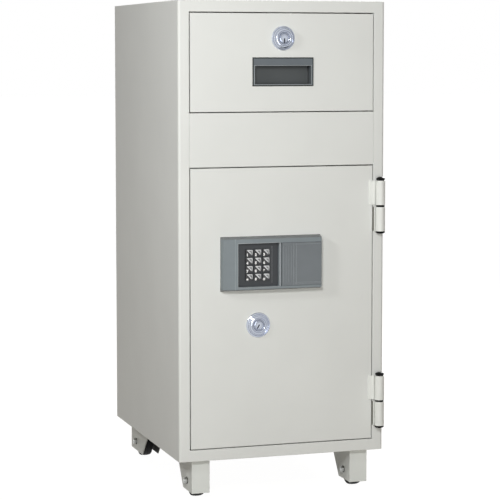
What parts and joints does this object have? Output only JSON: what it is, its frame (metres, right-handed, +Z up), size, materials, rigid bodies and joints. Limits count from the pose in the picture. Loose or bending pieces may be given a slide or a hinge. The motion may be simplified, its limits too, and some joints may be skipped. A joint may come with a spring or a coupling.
{
  "type": "deposit safe",
  "caption": "Upright safe on fixed casters, with a lockable drop drawer over a fixed panel and a hinged, bolted door with a key unit.",
  "frame": {"origin": "middle of the outline, on the floor", "axes": "+X to the right seen from the front, +Y from the front to the back, +Z up"},
  "size_m": [0.5, 0.6172, 1.147],
  "materials": {
    "case_paint": "satin",
    "inner_paint": "satin",
    "bracket_paint": "satin",
    "insulation": "matt",
    "zinc_steel": "zinc plated",
    "bright_steel": "polished",
    "lock_chrome": "bright",
    "black_steel": "gloss",
    "black_plastic": "satin",
    "unit_plastic": "satin",
    "key_plastic": "satin",
    "tyre_rubber": "matt"
  },
  "bodies": {
    "root": {"outer_case": "case_paint", "front_frame": "case_paint", "fixed_panel": "case_paint", "side_insulation": "insulation", "back_insulation": "insulation", "base_insulation": "insulation", "top_insulation": "insulation", "shelf_insulation": "insulation", "inner_liner": "inner_paint", "chute_plate": "inner_paint", "lock_keeper": "zinc_steel", "drawer_rails": "zinc_steel", "hinge_frame_barrels": "case_paint", "hinge_pins": "black_steel", "bracket_front_left": "bracket_paint", "bracket_front_right": "bracket_paint", "bracket_rear_left": "bracket_paint", "bracket_rear_right": "bracket_paint", "axle_bolts": "zinc_steel"},
    "drawer": {"drawer_front": "case_paint", "drawer_box": "inner_paint", "drawer_runners": "zinc_steel", "flap_rod": "zinc_steel", "drawer_pull": "unit_plastic", "drawer_lock_body": "lock_chrome"},
    "drop_flap": {"drop_flap": "inner_paint"},
    "drawer_lock": {"drawer_lock_plug": "lock_chrome", "drawer_lock_cam": "zinc_steel"},
    "door": {"door_skin": "case_paint", "door_insulation": "insulation", "door_back_plate": "zinc_steel", "door_inner_cover": "inner_paint", "dead_bolts": "bright_steel", "bolt_guides": "zinc_steel", "control_box": "black_plastic", "hinge_door_leaves": "case_paint", "hinge_caps": "black_plastic", "door_lock_body": "lock_chrome", "keypad_housing": "unit_plastic", "keypad_plate": "black_plastic"},
    "door_lock": {"door_lock_plug": "lock_chrome", "lock_pinion": "zinc_steel"},
    "bolt_work": {"bolt_work": "bright_steel"},
    "keypad_cover": {"keypad_cover": "unit_plastic"},
    "key_1": {"key_1": "key_plastic"},
    "key_2": {"key_2": "key_plastic"},
    "key_3": {"key_3": "key_plastic"},
    "key_4": {"key_4": "key_plastic"},
    "key_5": {"key_5": "key_plastic"},
    "key_6": {"key_6": "key_plastic"},
    "key_7": {"key_7": "key_plastic"},
    "key_8": {"key_8": "key_plastic"},
    "key_9": {"key_9": "key_plastic"},
    "key_clear": {"key_clear": "key_plastic"},
    "key_0": {"key_0": "key_plastic"},
    "key_enter": {"key_enter": "key_plastic"},
    "wheel_front_left": {"wheel_front_left": "tyre_rubber"},
    "wheel_front_right": {"wheel_front_right": "tyre_rubber"},
    "wheel_rear_left": {"wheel_rear_left": "tyre_rubber"},
    "wheel_rear_right": {"wheel_rear_right": "tyre_rubber"}
  },
  "joints": [
    {"name": "drawer_slide", "type": "slide", "parent": "root", "child": "drawer", "axis": [0, -1, 0], "range_m": [0, 0.25]},
    {"name": "flap_hinge", "type": "hinge", "parent": "drawer", "child": "drop_flap", "pos_m": [0, -0.15235, 0.9265], "axis": [1, 0, 0], "range_deg": [0, 45]},
    {"name": "drawer_lock_turn", "type": "hinge", "parent": "drawer", "child": "drawer_lock", "pos_m": [0, -0.28635, 1.0618], "axis": [0, 1, 0], "range_deg": [0, 90]},
    {"name": "door_hinge", "type": "hinge", "parent": "root", "child": "door", "pos_m": [0.2375, -0.29765, 0.442], "axis": [0, 0, 1], "range_deg": [0, 120]},
    {"name": "door_lock_turn", "type": "hinge", "parent": "door", "child": "door_lock", "pos_m": [-0.0598, -0.28635, 0.4024], "axis": [0, 1, 0], "range_deg": [0, 90]},
    {"name": "bolt_slide", "type": "slide", "parent": "door", "child": "bolt_work", "axis": [-1, 0, 0], "range_m": [0, 0.02002]},
    {"name": "cover_slide", "type": "slide", "parent": "door", "child": "keypad_cover", "axis": [-1, 0, 0], "range_m": [0, 0.105]},
    {"name": "key_1_press", "type": "slide", "parent": "door", "child": "key_1", "axis": [0, 1, 0], "range_m": [0, 0.0018], "stiffness_N_per_m": 700},
    {"name": "key_2_press", "type": "slide", "parent": "door", "child": "key_2", "axis": [0, 1, 0], "range_m": [0, 0.0018], "stiffness_N_per_m": 700},
    {"name": "key_3_press", "type": "slide", "parent": "door", "child": "key_3", "axis": [0, 1, 0], "range_m": [0, 0.0018], "stiffness_N_per_m": 700},
    {"name": "key_4_press", "type": "slide", "parent": "door", "child": "key_4", "axis": [0, 1, 0], "range_m": [0, 0.0018], "stiffness_N_per_m": 700},
    {"name": "key_5_press", "type": "slide", "parent": "door", "child": "key_5", "axis": [0, 1, 0], "range_m": [0, 0.0018], "stiffness_N_per_m": 700},
    {"name": "key_6_press", "type": "slide", "parent": "door", "child": "key_6", "axis": [0, 1, 0], "range_m": [0, 0.0018], "stiffness_N_per_m": 700},
    {"name": "key_7_press", "type": "slide", "parent": "door", "child": "key_7", "axis": [0, 1, 0], "range_m": [0, 0.0018], "stiffness_N_per_m": 700},
    {"name": "key_8_press", "type": "slide", "parent": "door", "child": "key_8", "axis": [0, 1, 0], "range_m": [0, 0.0018], "stiffness_N_per_m": 700},
    {"name": "key_9_press", "type": "slide", "parent": "door", "child": "key_9", "axis": [0, 1, 0], "range_m": [0, 0.0018], "stiffness_N_per_m": 700},
    {"name": "key_clear_press", "type": "slide", "parent": "door", "child": "key_clear", "axis": [0, 1, 0], "range_m": [0, 0.0018], "stiffness_N_per_m": 700},
    {"name": "key_0_press", "type": "slide", "parent": "door", "child": "key_0", "axis": [0, 1, 0], "range_m": [0, 0.0018], "stiffness_N_per_m": 700},
    {"name": "key_enter_press", "type": "slide", "parent": "door", "child": "key_enter", "axis": [0, 1, 0], "range_m": [0, 0.0018], "stiffness_N_per_m": 700},
    {"name": "axle_front_left", "type": "hinge", "parent": "root", "child": "wheel_front_left", "pos_m": [-0.1945, -0.23135, 0.0375], "axis": [1, 0, 0], "continuous": true},
    {"name": "axle_front_right", "type": "hinge", "parent": "root", "child": "wheel_front_right", "pos_m": [0.1945, -0.23135, 0.0375], "axis": [1, 0, 0], "continuous": true},
    {"name": "axle_rear_left", "type": "hinge", "parent": "root", "child": "wheel_rear_left", "pos_m": [-0.1945, 0.23865, 0.0375], "axis": [1, 0, 0], "continuous": true},
    {"name": "axle_rear_right", "type": "hinge", "parent": "root", "child": "wheel_rear_right", "pos_m": [0.1945, 0.23865, 0.0375], "axis": [1, 0, 0], "continuous": true}
  ],
  "couplings": [
    {"joint": "flap_hinge", "follows": "drawer_slide", "rad_per_m": 3.14},
    {"joint": "door_lock_turn", "follows": "bolt_slide", "rad_per_m": 78.431}
  ]
}
